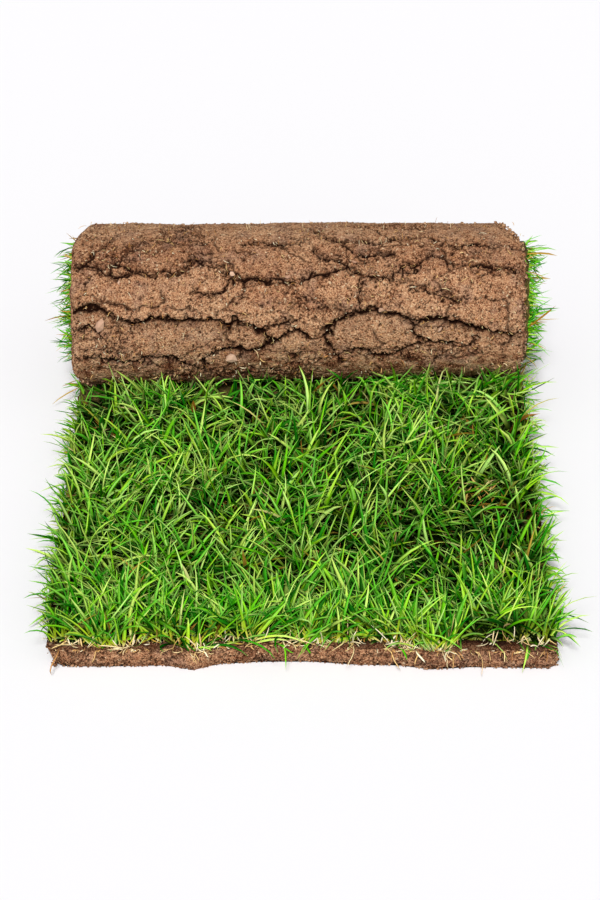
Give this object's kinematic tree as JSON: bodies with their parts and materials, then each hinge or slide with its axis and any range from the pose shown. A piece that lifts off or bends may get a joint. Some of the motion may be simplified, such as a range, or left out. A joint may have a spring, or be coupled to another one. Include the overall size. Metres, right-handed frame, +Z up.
{
  "type": "turf roll",
  "caption": "Cut length of turf, rolled up with the soil outside and the grass between its turns, with a flat tongue of grass left lying in front of the roll.",
  "frame": {"origin": "on the floor, under the middle of the whole part", "axes": "+Y from the tongue's front cut edge towards the roll, +X along the roll, +Z up"},
  "size_m": [0.428, 0.5, 0.165],
  "materials": {
    "soil": "matte",
    "grass": "matte"
  },
  "bodies": {
    "root": {"soil_mat": "soil", "grass_sward": "grass"}
  },
  "joints": []
}
